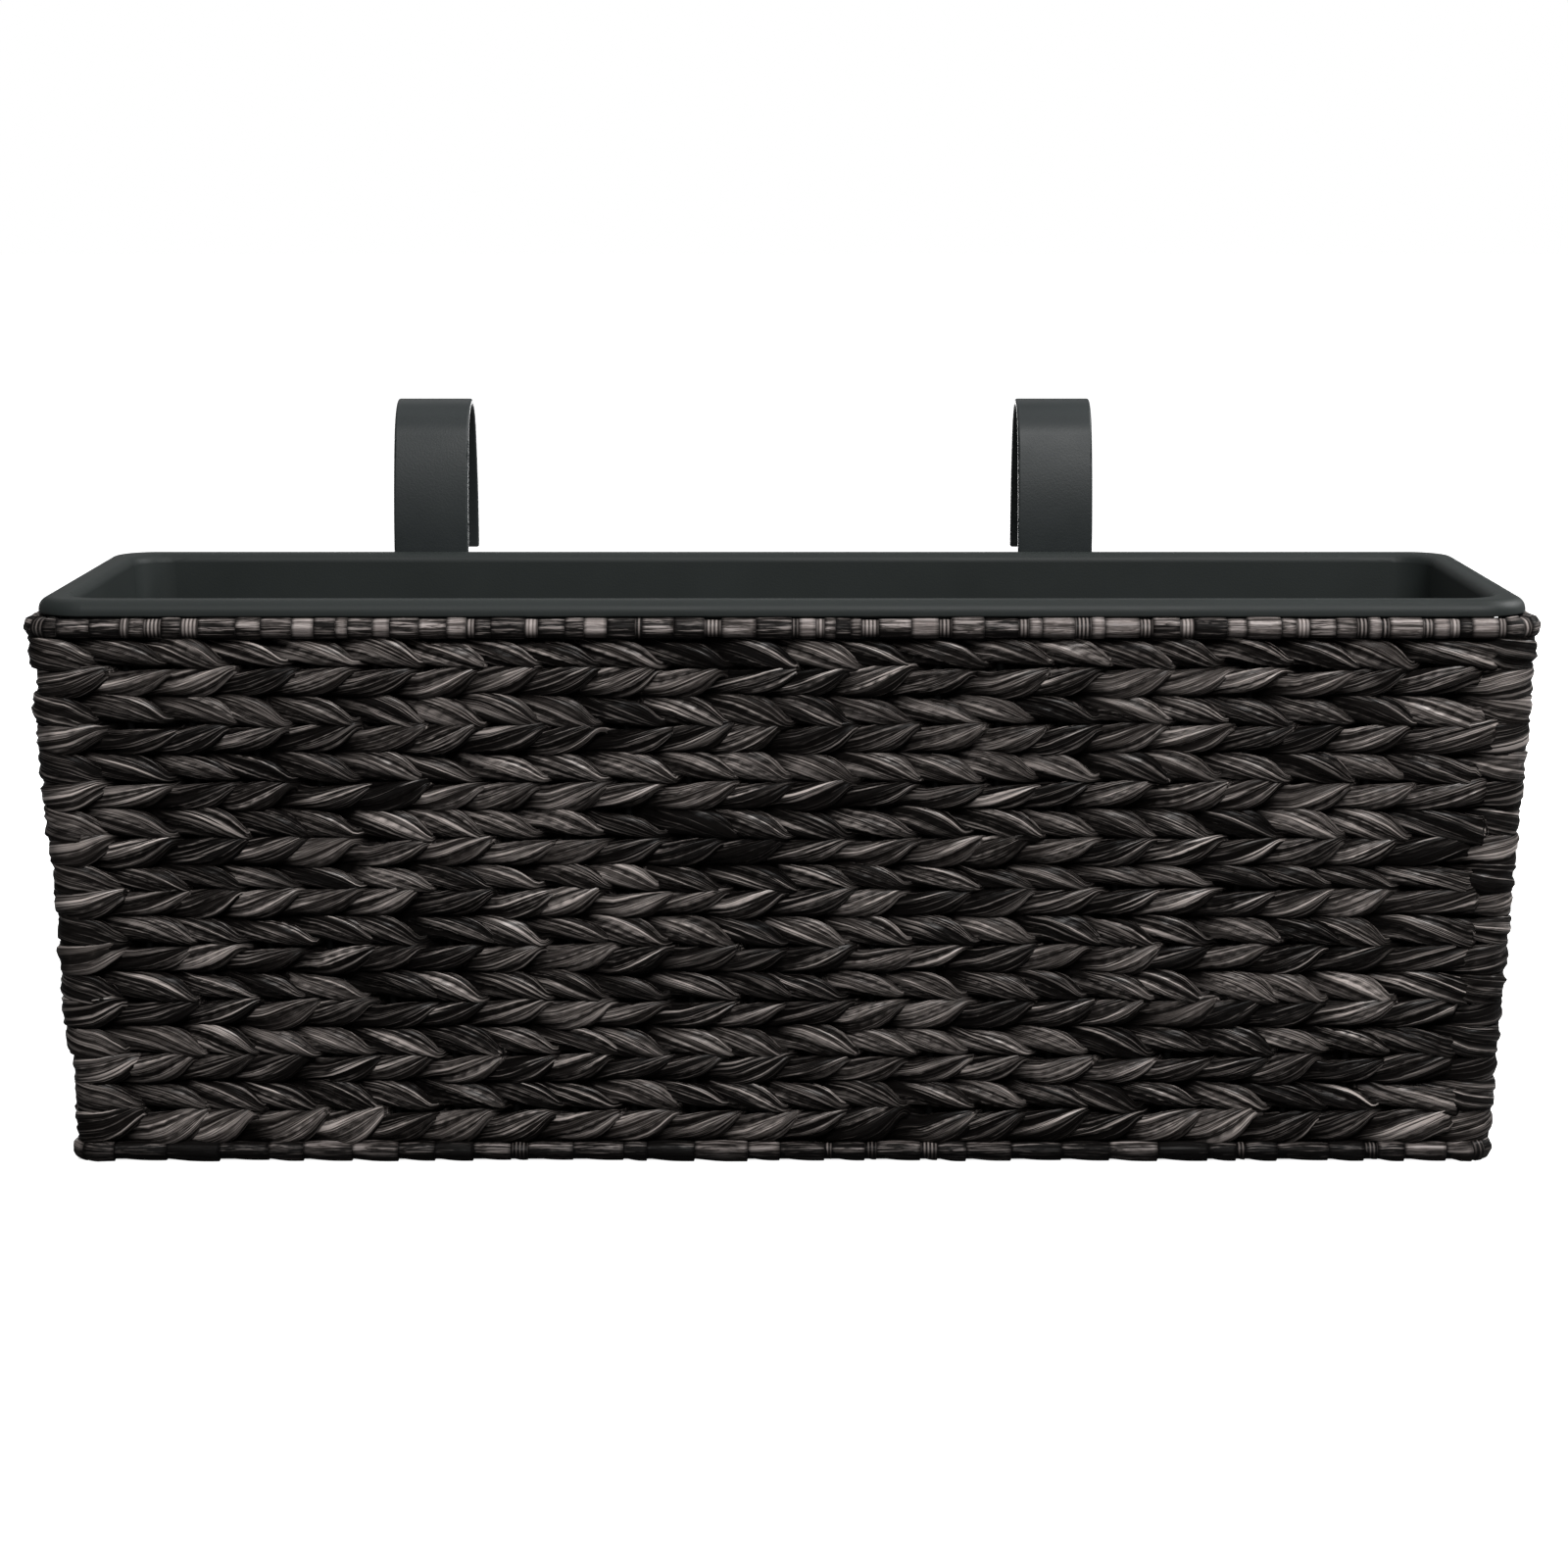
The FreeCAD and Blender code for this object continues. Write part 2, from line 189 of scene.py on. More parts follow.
weave = {
    "courses": 18,
    "stakeDepth": 4.5,           # stakes behind the face of a course
    "corner": 9.0,               # corner radius of the line of the stakes
    "frontStakes": 22,
    "sideStakes": 6,
    "backRuns": [(-284.0, -176.0, 4), (-136.0, 101.3, 9), (141.3, 284.0, 6)],
    "backHalf": 284.0,
    "toHook": 20.0,              # from a run's last stake to the middle of the hook
    "ringsPerLeaf": 14,
    "sides": 24,
    "startRadius": 1.5,          # of the round tube that a strand is shaped from
    "fibreTwist": 0.4,           # turns of the fibres for every turn of the strands
    "leanPerHeight": 0.0513,     # how much further out the walls stand higher up
    # half turns of a strand, and its top edge, lower edge, depth and half thickness there
    "half": [-1.0, -0.8, -0.6, -0.45, -0.3, -0.15, 0.0, 0.2, 0.36, 0.5, 0.62, 0.74, 0.86],
    "top": [5.9, 5.9, 5.6, 5.6, 5.9, 6.0, 5.8, 5.0, 3.5, 0.8, -2.4, -2.6, 4.6],
    "low": [-6.1, -6.0, -5.2, -4.4, -4.3, -4.7, -5.2, -5.7, -6.0, -6.2, -6.3, -5.8, -5.8],
    "depth": [-2.5, -2.2, -1.4, -0.4, 0.6, 1.4, 2.0, 2.5, 2.9, 3.0, 2.6, 0.2, -2.2],
    "thick": [2.2, 2.2, 2.1, 2.4, 2.8, 3.0, 3.0, 2.8, 2.2, 1.6, 1.1, 0.8, 1.6],
    "edgeSmoothing": 0.016,      # of the edges' tables, in turns
    "bodySmoothing": 0.022,      # of the depth's and the thickness's
    # courses, how much higher than their solids they lie, and how tall they are
    "rowPlaces": [8, 9, 10, 17, 18],
    "rowRise": [0.0, 0.9, 1.8, 1.8, 0.4],
    "rowTall": [1.0, 0.86, 1.0, 1.0, 1.22],
    "ridges": [(4, 0.6), (7, 0.5), (12, 0.24)],   # folds round a strand, and their height
    "ridgeSpread": (0.3, 1.5),
    "ridgeMiddle": 1.3,
    "ridgeRoom": 4.0,            # half height of a strand from which its folds are full
    "leastRidge": 0.25,
    "ridgeUp": 0.6,              # how much of a fold shows in the height
    "slip": 0.085,               # how far a leaf lies before or behind its place, in turns
    "stretch": (0.82, 1.16),
    "behindStretch": 1.12,       # behind the stakes every strand fills its row
    "behindDepth": 0.5,          # where it starts to pass behind, and over what depth
    "behindFade": 2.0,
    "lift": 0.9,
    "depthSpread": (-0.35, 0.15),
    "thickSpread": (0.88, 1.05),
    "boxySpread": (0.85, 1.1),   # power of the rounding: less is squarer
    "upright": 0.95,
    "thinnest": 0.45,
    "frontDepth": 1.5,
    "cornerReach": 19.0,         # how far from a corner the strands lie fuller
    "cornerRise": 1.7,
    "cornerHeight": 6.7,
    "cornerLevel": 0.6,
    "cornerBoxy": 0.65,
    "leafSeeds": 40.0,           # range of the numbers that start each leaf's fibre pattern
    "seed": 41,
    # painted shade: how much the strand's colour is darkened where shade falls
    "dark": {
        "deepFrom": 3.3,         # between its neighbours, but less on the inside of the box
        "deepFade": 3.6,
        "insideFrom": 0.2,
        "insideFade": 0.4,
        "insideBare": 0.8,
        "underFrom": 0.07,       # on its underside
        "underDark": 0.92,
        "creaseDepth": 0.55,     # in its folds
        "creasePower": 1.2,
        "creaseDark": 0.9,
        "cornerDark": 0.4,       # where it turns a corner of the box
        "sideSlope": 1.6,
        "sideFrom": 0.2,
    },
}


def stakeDistances(length, width):
    # distances along a course's ring where it goes round a stake or a corner post
    x, y = length / 2 - weave["corner"], width / 2 - weave["corner"]
    turn = weave["corner"] * math.pi / 2
    leftStart, frontStart = x + turn, x + 2 * turn + 2 * y
    rightStart, backStart = frontStart + 2 * x + turn, frontStart + 2 * x + 2 * turn + 2 * y

    def spread(start, run, count):
        return [start + run * (i + 1) / (count + 1) for i in range(count)]

    share = x / weave["backHalf"]
    back = []
    for first, last, count in weave["backRuns"]:
        back += [share * (first + (last - first) * i / count) for i in range(count + 1)]
        back.append(share * (last + weave["toHook"]))   # and one turn behind each hook
    back = sorted(back[1:-2], reverse=True)
    found = [-at for at in back if at <= 0]
    found += [x + turn / 2]
    found += spread(leftStart, 2 * y, weave["sideStakes"])
    found += [frontStart - turn / 2]
    found += spread(frontStart, 2 * x, weave["frontStakes"])
    found += [rightStart - turn / 2]
    found += spread(rightStart, 2 * y, weave["sideStakes"])
    found += [backStart - turn / 2]
    found += [backStart + x - at for at in back if at > 0]
    return np.array(sorted(found))


def heldPerLeaf(turns, values):
    # the value of the leaf that each place belongs to, passed over smoothly behind the stakes
    heldUntil, passOver = 0.38, 0.12
    count = len(values)
    nearest = np.round(turns).astype(int)
    off = turns - nearest
    share = np.clip((np.abs(off) - heldUntil) / passOver, 0, 1) * 0.5
    other = nearest + np.sign(off).astype(int)
    return values[nearest % count] * (1 - share) + values[other % count] * share


def leafTable(values, smoothing):
    return softTable(np.array(weave["half"]) / 2, weave[values], weave[smoothing])


leafTop = leafTable("top", "edgeSmoothing")
leafLow = leafTable("low", "edgeSmoothing")
leafDepth = leafTable("depth", "bodySmoothing")
leafThick = leafTable("thick", "bodySmoothing")


def weaveStrand(name, number, second, low, high):
    # one of the two strands of a course
    luck = np.random.default_rng(weave["seed"] + 100 * number + second)
    length = (high[0] - low[0]) / mm - 2 * weave["stakeDepth"]
    width = (high[1] - low[1]) / mm - 2 * weave["stakeDepth"]
    knots = stakeDistances(length, width)
    whole = ringLength(length, width, weave["corner"])
    leaves = len(knots)
    count = leaves * weave["ringsPerLeaf"]
    wider = np.append(knots, knots[0] + whole)
    distance = np.interp(
        np.arange(count) / weave["ringsPerLeaf"], np.arange(leaves + 1), wider)
    distance = np.mod(distance, whole)
    first = np.argmin(distance)
    distance = np.roll(distance, -first)

    # the round tube
    sides = weave["sides"]
    flat, outward = ringPlaces(length, width, weave["corner"], distance)
    rise = np.interp(number, weave["rowPlaces"], weave["rowRise"])
    middle = (low[2] + high[2]) / 2 / mm + rise
    points = np.hstack([flat, np.full((count, 1), middle)])
    mesh = closedTube(name, points * mm, sides, weave["startRadius"] * mm)
    angle = roundTheTube(mesh, points * mm, outward, sides)

    turnCount = leaves // 2
    turns = ((first + np.arange(count)) / weave["ringsPerLeaf"] + second) / 2

    def luckPerLeaf(lowest, highest):
        return heldPerLeaf(turns, luck.uniform(lowest, highest, turnCount))

    # edges, depth and thickness along the strand
    at = turns + luckPerLeaf(-weave["slip"], weave["slip"])
    stretch = luckPerLeaf(*weave["stretch"])
    lift = luckPerLeaf(-weave["lift"], weave["lift"])
    depth = leafDepth(at) + luckPerLeaf(*weave["depthSpread"])
    behind = np.clip((weave["behindDepth"] - depth) / weave["behindFade"], 0, 1)
    stretch += (weave["behindStretch"] - stretch) * behind
    stretch *= np.interp(number, weave["rowPlaces"], weave["rowTall"])
    lift *= 1 - behind
    top, bottom = leafTop(at) * stretch + lift, leafLow(at) * stretch + lift
    slant = 1 if number % 2 else -1   # odd courses slant down to the right, even ones up
    centre = slant * (top + bottom) / 2
    halfHeight = np.maximum((top - bottom) / 2, weave["thinnest"])
    thick = leafThick(at) * luckPerLeaf(*weave["thickSpread"])

    # fuller where it goes round a corner
    corners = cornerDistances(length, width, weave["corner"])
    off = np.abs(distance[:, None] - corners[None, :]).min(1)
    inFront = np.clip(depth / weave["frontDepth"], 0, 1)
    fuller = np.exp(-(off / weave["cornerReach"]) ** 2) * inFront
    depth += weave["cornerRise"] * fuller
    centre *= 1 - weave["cornerLevel"] * fuller
    halfHeight += (np.maximum(weave["cornerHeight"], halfHeight) - halfHeight) * fuller

    # section of the strand, with lengthwise folds that twist with it
    cosine, sine = np.cos(angle), np.sin(angle)
    boxy = luckPerLeaf(*weave["boxySpread"]) * (1 - weave["cornerBoxy"] * fuller)
    out = np.sign(cosine) * np.abs(cosine) ** boxy[:, None] * thick[:, None]
    up = np.sign(sine) * np.abs(sine) ** weave["upright"] * halfHeight[:, None]
    side = np.arange(sides)[None, :] / sides
    fibre = side - slant * weave["fibreTwist"] * turns[:, None]
    room = np.clip(halfHeight / weave["ridgeRoom"], weave["leastRidge"], 1.0)[:, None]
    ridge = np.zeros_like(out)
    for folds, height in weave["ridges"]:
        shift = luckPerLeaf(0, 1.0)[:, None]
        size = height * luckPerLeaf(*weave["ridgeSpread"])[:, None]
        fold = 2 * np.abs(np.cos(math.pi * (folds * fibre + shift))) - weave["ridgeMiddle"]
        ridge += size * fold
    ridge *= room
    out += ridge * cosine
    up += weave["ridgeUp"] * ridge * sine

    away = depth[:, None] + out
    height = centre[:, None] + up
    reach = away + weave["leanPerHeight"] * height
    shapeTube(mesh, points, outward, reach, points[:, None, 2] + height)

    setVertexValues(mesh, "tone", np.repeat(luckPerLeaf(0.0, 1.0), sides))
    setVertexValues(mesh, "leaf", np.repeat(luckPerLeaf(0.0, weave["leafSeeds"]), sides))
    # painted shade: the strand's colour is darkened between its neighbours, on its underside,
    # in its folds and where it turns a corner of the box
    dark = weave["dark"]
    inside = np.clip((-cosine - dark["insideFrom"]) / dark["insideFade"], 0, 1)
    deep = np.clip((dark["deepFrom"] - away) / dark["deepFade"], 0, 1)
    deep = deep * (1 - dark["insideBare"] * inside)
    under = np.clip((dark["underFrom"] - sine) * dark["underDark"], 0, 1)
    crease = np.clip(-ridge / dark["creaseDepth"], 0, 1) ** dark["creasePower"]
    crease = crease * dark["creaseDark"]
    turned = np.clip(np.abs(outward[:, 0]) * dark["sideSlope"] - dark["sideFrom"], 0, 1)
    turned = turned * np.exp(-(off / weave["corner"]) ** 2)
    unshaded = (1 - deep) * (1 - under) * (1 - crease)
    unshaded = unshaded * (1 - dark["cornerDark"] * turned)[:, None]
    setVertexValues(mesh, "paintedShade", 1 - np.clip(unshaded, 0, 1))

    alongLoop, aroundLoop = tubeUv(mesh, sides)
    turnsLoop = ((first + alongLoop * count) / weave["ringsPerLeaf"] + second) / 2
    twisted = aroundLoop - slant * weave["fibreTwist"] * turnsLoop
    setUv(mesh, alongLoop * whole * mm, twisted)
    strand = bpy.data.objects.new(name, mesh)
    bpy.context.scene.collection.objects.link(strand)
    return strand


def weaveCourse(number):
    node = f"weave_course_{number:02d}"
    low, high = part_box(node)
    strands = [
        weaveStrand(f"strand{second}", number, second, low, high) for second in (0, 1)]
    course = joinPieces(f"twinedCourse{number:02d}", strands)
    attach(course, "basket")
    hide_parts(node)
    return course


courses = [weaveCourse(number) for number in range(1, weave["courses"] + 1)]
print("weave twined,", sum(len(course.data.polygons) for course in courses), "faces")


# Borders: a rod wound with ribbon, partly laid flat and partly bound with narrow turns.
# All lengths are in millimetres.

border = {
    "radius": 4.2,
    "corner": 11.8,
    "sides": 24,
    "ringStep": 1.5,
    "bindRun": (2.5, 7.0),       # length of a place bound with narrow turns
    "bindRise": -0.25,
    "turnLength": 1.5,
    "turnHeight": 0.10,
    "patchRise": (-0.6, 0.15),
    "tilt": 0.3,
    "edge": 0.3,                 # how abruptly one patch ends over the next
    "bulgeMiddle": 0.6,
    "strips": 7,                 # lengthwise strips round the rod, and their height
    "stripHeight": 0.2,
    "bindFlattens": 0.8,
    "phases": 6.28,
    "leafSeeds": 40.0,
    # painted shade: how much the ribbon's colour is darkened where shade falls
    "dark": {
        "lowFrom": 0.12,         # underneath
        "lowSlope": 1.15,
        "lowDark": 0.92,
        "seamWidth": 0.9,        # where one patch ends and the next begins
        "seamDark": 0.9,
        "stripDark": 0.6,        # between the strips
        # painted shade: how much darker all of a border is painted for its shade value
        "toneLoss": 0.5,
    },
    "top": {
        "flatRun": (4.0, 15.0),  # length of a patch laid flat
        "bindShare": 0.4,
        "bindTone": 0.7,
        "cornerRise": 0.7,       # thicker at a corner
        "shingle": 0.15,         # how much a patch rises towards its end
        "bulge": 0.1,
        "shade": 0.0,
        "seed": 7,
    },
    "bottom": {
        "flatRun": (9.0, 22.0),
        "bindShare": 0.15,
        "bindTone": 0.4,
        "cornerRise": 1.7,
        "shingle": 1.3,
        "bulge": 0.5,
        # painted shade: the bottom border is painted darker all over and underneath
        "shade": 0.8,
        "seed": 19,
    },
}


def borderPatches(luck, whole, look):
    # start of each patch, and whether it is bound
    starts, bound = [0.0], [False]
    while starts[-1] < whole - look["flatRun"][1]:
        lowest, highest = border["bindRun"] if bound[-1] else look["flatRun"]
        starts.append(starts[-1] + luck.uniform(lowest, highest))
        bound.append(bool(luck.random() < look["bindShare"]) and not bound[-1])
    return np.array(starts), np.array(bound)


def woundBorder(node, name, look):
    luck = np.random.default_rng(look["seed"])
    low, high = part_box(node)
    radius, sides, edge = border["radius"], border["sides"], border["edge"]
    length = (high[0] - low[0]) / mm - 2 * radius
    width = (high[1] - low[1]) / mm - 2 * radius
    whole = ringLength(length, width, border["corner"])
    starts, bound = borderPatches(luck, whole, look)
    ends = np.append(starts[1:], whole)
    distance = []
    for start, end in zip(starts, ends):
        steps = max(2, round((end - start - edge) / border["ringStep"]))
        distance += list(start + (end - start - edge) * np.arange(steps + 1) / steps)
    distance = np.array(distance)
    patch = np.searchsorted(starts, distance + 1e-6) - 1
    share = (distance - starts[patch]) / (ends - starts)[patch]
    isBound = bound[patch]

    # the round tube
    flat, outward = ringPlaces(length, width, border["corner"], distance)
    middle = high[2] / mm - radius
    points = np.hstack([flat, np.full((len(flat), 1), middle)])
    mesh = closedTube(name, points * mm, sides, radius * mm)
    angle = roundTheTube(mesh, points * mm, outward, sides)

    # patches that rise, tilt and bulge, with strips, or with narrow turns where bound
    rise = luck.uniform(*border["patchRise"], len(starts))[patch]
    rise[isBound] += border["bindRise"]
    taper = look["shingle"] * (share - 1)
    onCorner = np.abs(outward[:, 0] * outward[:, 1]) * 2 * look["cornerRise"]
    under = 0.5 - 0.5 * np.sin(angle)
    tilt = luck.uniform(-border["tilt"], border["tilt"], len(starts))[patch]
    wound = radius + (rise + onCorner)[:, None] + taper[:, None] * under
    wound += (tilt * (share - 0.5))[:, None] * np.cos(angle)
    wound += (look["bulge"] * (np.sin(math.pi * share) - border["bulgeMiddle"]))[:, None]
    phase = luck.uniform(0, border["phases"], len(starts))[patch]
    strip = border["stripHeight"] * np.cos(border["strips"] * angle + phase[:, None])
    strip = strip * (1 - border["bindFlattens"] * isBound)[:, None]
    wound += strip
    turn = 2 * math.pi * distance / border["turnLength"]
    wound += border["turnHeight"] * (np.cos(turn) * isBound)[:, None]
    height = np.maximum(points[:, None, 2] + wound * np.sin(angle), low[2] / mm)
    shapeTube(mesh, points, outward, wound * np.cos(angle), height)

    # painted shade: the ribbon's colour is darkened all over on a shaded border, underneath,
    # at the seams between patches and between the strips
    dark = border["dark"]
    tone = luck.uniform(0, 1, len(starts))[patch] - dark["toneLoss"] * look["shade"]
    tone[isBound] *= look["bindTone"]
    setVertexValues(mesh, "tone", np.repeat(tone, sides))
    setVertexValues(mesh, "bound", np.repeat(isBound.astype(float), sides))
    lower = np.clip(
        dark["lowFrom"] + look["shade"] - np.sin(angle) * dark["lowSlope"], 0, 1)
    toEdge = np.minimum(share, 1 - share) * (ends - starts)[patch]
    seam = np.clip(1 - toEdge / dark["seamWidth"], 0, 1) * dark["seamDark"]
    hollow = np.clip(-strip / border["stripHeight"], 0, 1) * dark["stripDark"]
    unshaded = (1 - lower * dark["lowDark"]) * (1 - seam[:, None]) * (1 - hollow)
    setVertexValues(mesh, "paintedShade", 1 - unshaded)
    leaf = luck.uniform(0, border["leafSeeds"], len(starts))[patch]
    setVertexValues(mesh, "leaf", np.repeat(leaf, sides))

    alongLoop, aroundLoop = tubeUv(mesh, sides)
    ringAt = np.append(distance, whole)
    along = np.interp(alongLoop * len(distance), np.arange(len(distance) + 1), ringAt)
    setUv(mesh, along * mm, aroundLoop)
    piece = bpy.data.objects.new(name, mesh)
    bpy.context.scene.collection.objects.link(piece)
    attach(piece, "basket")
    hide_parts(node)
    return piece


borders = [
    woundBorder("top_border_wrap", "woundTopBorder", border["top"]),
    woundBorder("bottom_border_wrap", "woundBottomBorder", border["bottom"]),
]
print("borders wound")


# Materials. Groups hold what more than one of them uses.

def addNode(tree, kind, at, settings=None, values=None):
    node = tree.nodes.new(kind)
    node.location = at
    for name, value in (settings or {}).items():
        setattr(node, name, value)
    for name, value in (values or {}).items():
        node.inputs[name].default_value = value
    return node


def feed(tree, socket, source):
    # a number, a colour or another node's output
    if isinstance(source, (int, float)):
        socket.default_value = source
    elif isinstance(source, tuple):
        socket.default_value = (*source, 1)
    else:
        tree.links.new(source, socket)


def addAttribute(tree, at, name):
    node = addNode(tree, "ShaderNodeAttribute", at, {"attribute_name": name})
    return node.outputs["Fac"]


def addMath(tree, at, operation, *sources):
    node = addNode(tree, "ShaderNodeMath", at, {"operation": operation})
    for socket, source in zip(node.inputs, sources):
        feed(tree, socket, source)
    return node.outputs[0]


def addRange(tree, at, source, before=(0.0, 1.0), after=(0.0, 1.0)):
    # moves a value from one range to another, and clamps it there
    node = addNode(tree, "ShaderNodeMapRange", at, values={
        "From Min": before[0], "From Max": before[1],
        "To Min": after[0], "To Max": after[1]})
    feed(tree, node.inputs["Value"], source)
    return node.outputs["Result"]


def addRamp(tree, at, stops, source):
    node = addNode(tree, "ShaderNodeValToRGB", at)
    while len(node.color_ramp.elements) < len(stops):
        node.color_ramp.elements.new(0.5)
    for element, (place, color) in zip(node.color_ramp.elements, stops):
        element.position = place
        element.color = (*color, 1)
    feed(tree, node.inputs["Fac"], source)
    return node.outputs["Color"]


def mixColors(tree, at, share, first, second):
    node = addNode(tree, "ShaderNodeMix", at, {"data_type": "RGBA", "blend_type": "MIX"})
    for number, source in ((0, share), (6, first), (7, second)):
        feed(tree, node.inputs[number], source)
    return node.outputs[2]


def mixValues(tree, at, share, first, second):
    node = addNode(tree, "ShaderNodeMix", at, {"data_type": "FLOAT"})
    for label, source in (("Factor", share), ("A", first), ("B", second)):
        feed(tree, node.inputs[label], source)
    return node.outputs["Result"]


def addBump(tree, at, height, look, shader):
    bump = addNode(tree, "ShaderNodeBump", at, values={
        "Strength": look["bump"], "Distance": look["bumpDepth"]})
    feed(tree, bump.inputs["Height"], height)
    feed(tree, shader.inputs["Normal"], bump.outputs["Normal"])


def newGroup(name, ins, outs):
    tree = bpy.data.node_groups.new(name, "ShaderNodeTree")
    for label, value in ins.items():
        socket = tree.interface.new_socket(
            label, in_out="INPUT", socket_type="NodeSocketFloat")
        socket.default_value = value
    for label in outs:
        tree.interface.new_socket(label, in_out="OUTPUT", socket_type="NodeSocketFloat")
    enter = addNode(tree, "NodeGroupInput", (-1200, 0))
    leave = addNode(tree, "NodeGroupOutput", (900, 0))
    return tree, enter, leave


def newMaterial(name):
    material = bpy.data.materials.new(name)
    material.use_nodes = True
    tree = material.node_tree
    tree.nodes.clear()
    leave = addNode(tree, "ShaderNodeOutputMaterial", (900, 0))
    shader = addNode(tree, "ShaderNodeBsdfPrincipled", (600, 0))
    tree.links.new(shader.outputs[0], leave.inputs["Surface"])
    return material, tree, shader


fibrePattern = {
    "detail": 3.0,
    "roughness": 0.6,
    "distortion": 0.15,
    "seeds": (1.7, 6.1),         # apart for the broad and the fine streaks
    "ridge": (0.40, 0.60),
    "grooves": (0.035, 0.05),    # half width of the dark grooves of each
    "grooveDark": 0.25,
}


def makeFibreGroup():
    # long plant fibres: streaks along the UV map's first direction
    tree, enter, leave = newGroup(
        "plantFibre",
        {"Along": 60.0, "Around": 14.0, "Fine Along": 110.0, "Fine Around": 46.0, "Leaf": 0.0},
        ["Streaks"],
    )
    uv = addNode(tree, "ShaderNodeUVMap", (-1200, 250), {"uv_map": "UVMap"})
    split = addNode(tree, "ShaderNodeSeparateXYZ", (-1000, 250))
    feed(tree, split.inputs[0], uv.outputs["UV"])

    def streaks(x, y, along, around, seed):
        place = addNode(tree, "ShaderNodeCombineXYZ", (x, y))
        for axis, label, low in (("X", along, 80), ("Y", around, 160)):
            scaled = addMath(tree, (x - 200, y - low), "MULTIPLY",
                             split.outputs[axis], enter.outputs[label])
            feed(tree, place.inputs[axis], scaled)
        other = addMath(tree, (x - 200, y - 240), "ADD", enter.outputs["Leaf"], seed)
        feed(tree, place.inputs["Z"], other)
        noise = addNode(tree, "ShaderNodeTexNoise", (x + 200, y), values={
            "Scale": 1.0, "Detail": fibrePattern["detail"],
            "Roughness": fibrePattern["roughness"],
            "Distortion": fibrePattern["distortion"]})
        feed(tree, noise.inputs["Vector"], place.outputs[0])
        return noise.outputs["Fac"]

    broad = streaks(-600, 200, "Along", "Around", fibrePattern["seeds"][0])
    fine = streaks(-600, -200, "Fine Along", "Fine Around", fibrePattern["seeds"][1])
    both = mixValues(tree, (0, 0), 0.5, broad, fine)
    streak = addRange(tree, (200, -200), both, before=fibrePattern["ridge"])
    for noise, width, y in zip((broad, fine), fibrePattern["grooves"], (150, 350)):
        # a dark groove wherever the noise passes its middle
        off = addMath(tree, (0, y), "SUBTRACT", noise, 0.5)
        away = addMath(tree, (150, y), "ABSOLUTE", off)
        groove = addRange(tree, (300, y), away,
                          before=(0.0, width), after=(fibrePattern["grooveDark"], 1.0))
        streak = addMath(tree, (500, y), "MULTIPLY", streak, groove)
    feed(tree, leave.inputs["Streaks"], streak)
    return tree


fibreGroup = makeFibreGroup()


def fibreSources(tree, look):
    # the fibres' streaks, and the values that each leaf or patch carries
    fibre = addNode(
        tree, "ShaderNodeGroup", (-1100, 0), {"node_tree": fibreGroup}, look["fibre"])
    tone, paintedShade, leaf = [
        addAttribute(tree, (-1300, y), name)
        for name, y in (("tone", 300), ("paintedShade", -300), ("leaf", 0))]
    feed(tree, fibre.inputs["Leaf"], leaf)
    return fibre.outputs["Streaks"], tone, paintedShade


def fibreColor(tree, look, pattern, tone, paintedShade, shader):
    # leaves lighter and darker than each other, streaked, and mixed towards a near-black
    # colour for the painted shade
    lower = addMath(tree, (-400, 500), "SUBTRACT", tone, 0.5)
    lift = addMath(tree, (-200, 300), "MULTIPLY_ADD", lower, look["toneShift"], pattern)
    ramp = addRamp(tree, (0, 300), look["stops"], lift)
    color = mixColors(tree, (300, 200), paintedShade, ramp, look["paintedShadeColor"])
    feed(tree, shader.inputs["Base Color"], color)


def sheenWhereUnshaded(tree, look, paintedShade, streaks, shader):
    # a thin coat makes the raised fibres shine; it is left off where shade is painted, so that
    # painted shade stays dull
    unshaded = addMath(tree, (0, -250), "SUBTRACT", 1.0, paintedShade)
    shown = addMath(tree, (170, -250), "MULTIPLY", unshaded, streaks)
    feed(tree, shader.inputs["Coat Weight"], shown)
    feed(tree, shader.inputs["Coat Roughness"], look["coatRoughness"])
    feed(tree, shader.inputs["Specular IOR Level"], look["specular"])


hyacinth = {
    "fibre": {"Along": 13.0, "Around": 10.0, "Fine Along": 15.0, "Fine Around": 30.0},
    "stops": [(0.0, (0.006, 0.0049, 0.0045)), (0.22, (0.025, 0.0207, 0.0188)),
              (0.50, (0.225, 0.195, 0.180)), (0.90, (0.700, 0.612, 0.572))],
    "toneShift": 0.45,           # how much lighter the lightest leaf is than the darkest
    # colour of the painted shade
    "paintedShadeColor": (0.0045, 0.0037, 0.0034),
    "specular": 0.03,
    "coatRoughness": 0.34,       # of the sheen on the bare fibres
    "roughness": (0.60, 0.24),   # in the grooves, and on the fibres
    "bump": 1.0,
    "bumpDepth": 0.0016,
}


def makeHyacinth():
    material, tree, shader = newMaterial("stainedWaterHyacinth")
    streaks, tone, paintedShade = fibreSources(tree, hyacinth)
    fibreColor(tree, hyacinth, streaks, tone, paintedShade, shader)
    gloss = addRange(tree, (0, -100), streaks, after=hyacinth["roughness"])
    feed(tree, shader.inputs["Roughness"], gloss)
    sheenWhereUnshaded(tree, hyacinth, paintedShade, streaks, shader)
    addBump(tree, (300, -400), streaks, hyacinth, shader)
    return material


ribbon = {
    "fibre": {"Along": 30.0, "Around": 10.0, "Fine Along": 60.0, "Fine Around": 34.0},
    "stops": [(0.0, (0.008, 0.0067, 0.0062)), (0.22, (0.085, 0.0725, 0.067)),
              (0.50, (0.310, 0.266, 0.250)), (0.90, (0.540, 0.474, 0.452))],
    "toneShift": 0.8,
    "specular": 0.06,
    "coatRoughness": 0.5,
    "roughness": 0.55,
    # colour of the painted shade
    "paintedShadeColor": (0.002, 0.0016, 0.0016),
    "turnsPerMetre": 660.0,      # narrow turns that bind the border
    "turnContrast": 0.3,
    "turnMiddle": 0.5,
    "bump": 0.6,
    "bumpDepth": 0.0005,
}


